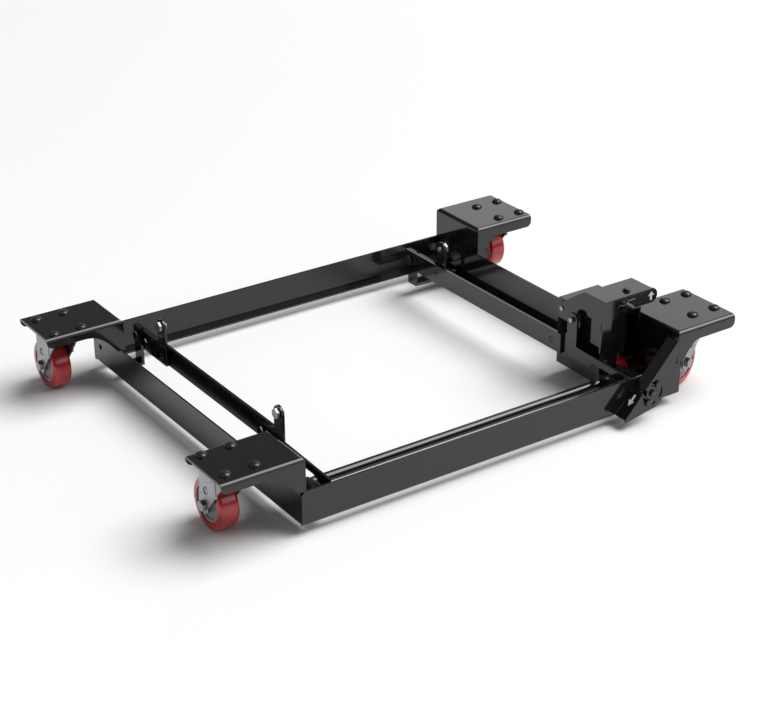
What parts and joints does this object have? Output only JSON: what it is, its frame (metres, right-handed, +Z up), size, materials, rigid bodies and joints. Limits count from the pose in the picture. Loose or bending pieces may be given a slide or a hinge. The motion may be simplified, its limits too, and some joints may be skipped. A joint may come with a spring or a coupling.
{
  "type": "table saw mobile base",
  "caption": "Wheeled steel base that carries a heavy workshop machine on swivel casters, with lift arms raised by a foot-pumped jack and let down by a second pedal",
  "frame": {"origin": "middle of the whole base on the floor, with its rear wheels trailing straight back", "axes": "+X to the right as someone faces the pedals' end of the front rail, +Y from the front rail to the rear rail, +Z up"},
  "size_m": [0.871, 0.6446, 0.157],
  "materials": {
    "powder": "gloss black powder coat over folded steel plate",
    "zinc": "bright zinc plate on pressed steel",
    "hub": "moulded grey nylon with a light grain",
    "tread": "red polyurethane, slightly translucent, lightly scuffed",
    "steel": "bright ground steel",
    "black_bolt": "black oxide button head"
  },
  "bodies": {
    "frame": {"front_rail": "powder", "rear_rail": "powder", "left_rail": "powder", "right_rail": "powder", "front_left_bracket": "powder", "rear_left_bracket": "powder", "front_right_bracket": "powder", "rear_right_bracket": "powder", "front_left_caster_plate": "zinc", "rear_left_caster_plate": "zinc", "front_right_caster_plate": "zinc", "rear_right_caster_plate": "zinc", "left_post": "powder", "right_post": "powder", "left_pivot_bolt": "zinc", "right_pivot_bolt": "zinc", "left_shaft_bearing": "powder", "right_shaft_bearing": "powder", "pump_housing": "powder", "jack_body": "powder", "pedal_pin": "zinc", "pedal_spring": "steel", "stop_screw_1": "black_bolt", "stop_screw_2": "black_bolt"},
    "front_left_swivel": {"front_left_fork": "zinc", "front_left_axle": "zinc"},
    "front_left_wheel": {"front_left_hub": "hub", "front_left_tread": "tread"},
    "rear_left_swivel": {"rear_left_fork": "zinc", "rear_left_axle": "zinc"},
    "rear_left_wheel": {"rear_left_hub": "hub", "rear_left_tread": "tread"},
    "front_right_swivel": {"front_right_fork": "zinc", "front_right_axle": "zinc"},
    "front_right_wheel": {"front_right_hub": "hub", "front_right_tread": "tread"},
    "rear_right_swivel": {"rear_right_fork": "zinc", "rear_right_axle": "zinc"},
    "rear_right_wheel": {"rear_right_hub": "hub", "rear_right_tread": "tread"},
    "left_lift": {"left_lift_arm": "powder", "left_front_ear": "powder", "left_rear_ear": "powder", "left_front_ear_bolt": "zinc", "left_rear_ear_bolt": "zinc"},
    "right_lift": {"right_lift_arm": "powder", "right_front_ear": "powder", "right_rear_ear": "powder", "right_front_ear_bolt": "zinc", "right_rear_ear_bolt": "zinc"},
    "lift_shaft": {"lift_shaft": "powder", "roller_pin": "steel"},
    "roller": {"jack_roller": "tread"},
    "ram": {"jack_ram": "steel"},
    "plunger": {"pump_plunger": "steel"},
    "raise_pedal": {"raise_pedal": "powder"},
    "lower_pedal": {"lower_pedal": "powder", "release_shaft": "steel"},
    "release_stem": {"release_stem": "steel"}
  },
  "joints": [
    {"name": "front_left_swivel_turn", "type": "hinge", "parent": "frame", "child": "front_left_swivel", "pos_m": [-0.3965, -0.24445, 0.095], "axis": [0, 0, 1], "continuous": true},
    {"name": "front_left_wheel_turn", "type": "hinge", "parent": "front_left_swivel", "child": "front_left_wheel", "pos_m": [-0.3965, -0.20845, 0.0377], "axis": [1, 0, 0], "continuous": true},
    {"name": "rear_left_swivel_turn", "type": "hinge", "parent": "frame", "child": "rear_left_swivel", "pos_m": [-0.3965, 0.24855, 0.095], "axis": [0, 0, 1], "continuous": true},
    {"name": "rear_left_wheel_turn", "type": "hinge", "parent": "rear_left_swivel", "child": "rear_left_wheel", "pos_m": [-0.3965, 0.28455, 0.0377], "axis": [1, 0, 0], "continuous": true},
    {"name": "front_right_swivel_turn", "type": "hinge", "parent": "frame", "child": "front_right_swivel", "pos_m": [0.4075, -0.23095, 0.095], "axis": [0, 0, 1], "continuous": true},
    {"name": "front_right_wheel_turn", "type": "hinge", "parent": "front_right_swivel", "child": "front_right_wheel", "pos_m": [0.37326, -0.24208, 0.0377], "axis": [-0.309, 0.9511, 0], "continuous": true},
    {"name": "rear_right_swivel_turn", "type": "hinge", "parent": "frame", "child": "rear_right_swivel", "pos_m": [0.4075, 0.23505, 0.095], "axis": [0, 0, 1], "continuous": true},
    {"name": "rear_right_wheel_turn", "type": "hinge", "parent": "rear_right_swivel", "child": "rear_right_wheel", "pos_m": [0.4075, 0.27105, 0.0377], "axis": [1, 0, 0], "continuous": true},
    {"name": "lift_shaft_turn", "type": "hinge", "parent": "frame", "child": "lift_shaft", "pos_m": [-0.0205, -0.23195, 0.033], "axis": [1, 0, 0], "range_deg": [0, 20]},
    {"name": "left_arm_lift", "type": "hinge", "parent": "frame", "child": "left_lift", "pos_m": [-0.2685, 0.24305, 0.06425], "axis": [1, 0, 0], "range_deg": [0, 1.56]},
    {"name": "right_arm_lift", "type": "hinge", "parent": "frame", "child": "right_lift", "pos_m": [0.2315, 0.24305, 0.06425], "axis": [1, 0, 0], "range_deg": [0, 1.56]},
    {"name": "roller_turn", "type": "hinge", "parent": "lift_shaft", "child": "roller", "pos_m": [0.3005, -0.19059, 0.02571], "axis": [1, 0, 0], "continuous": true},
    {"name": "ram_slide", "type": "slide", "parent": "frame", "child": "ram", "axis": [0, 0, 1], "range_m": [0, 0.0147]},
    {"name": "raise_pedal_press", "type": "hinge", "parent": "frame", "child": "raise_pedal", "pos_m": [0.2895, -0.12795, 0.112], "axis": [1, 0, 0], "range_deg": [0, 10], "stiffness_Nm_per_rad": 2, "springref_deg": -28.65},
    {"name": "plunger_slide", "type": "slide", "parent": "frame", "child": "plunger", "axis": [0, 0, 1], "range_m": [-0.0112, 0], "deforming": ["pedal_spring"]},
    {"name": "lower_pedal_press", "type": "hinge", "parent": "frame", "child": "lower_pedal", "pos_m": [0.2575, -0.29595, 0.0465], "axis": [0, 1, 0], "range_deg": [-10, 0], "stiffness_Nm_per_rad": 1, "springref_deg": 28.65},
    {"name": "release_stem_slide", "type": "slide", "parent": "frame", "child": "release_stem", "axis": [0, 0, 1], "range_m": [0, 0.0042]}
  ],
  "couplings": [
    {"joint": "left_arm_lift", "follows": "lift_shaft_turn", "ratio": 0.07738},
    {"joint": "right_arm_lift", "follows": "lift_shaft_turn", "ratio": 0.07738},
    {"joint": "ram_slide", "follows": "lift_shaft_turn", "m_per_rad": 0.041785},
    {"joint": "plunger_slide", "follows": "raise_pedal_press", "m_per_rad": -0.06264},
    {"joint": "release_stem_slide", "follows": "lower_pedal_press", "m_per_rad": -0.022}
  ]
}
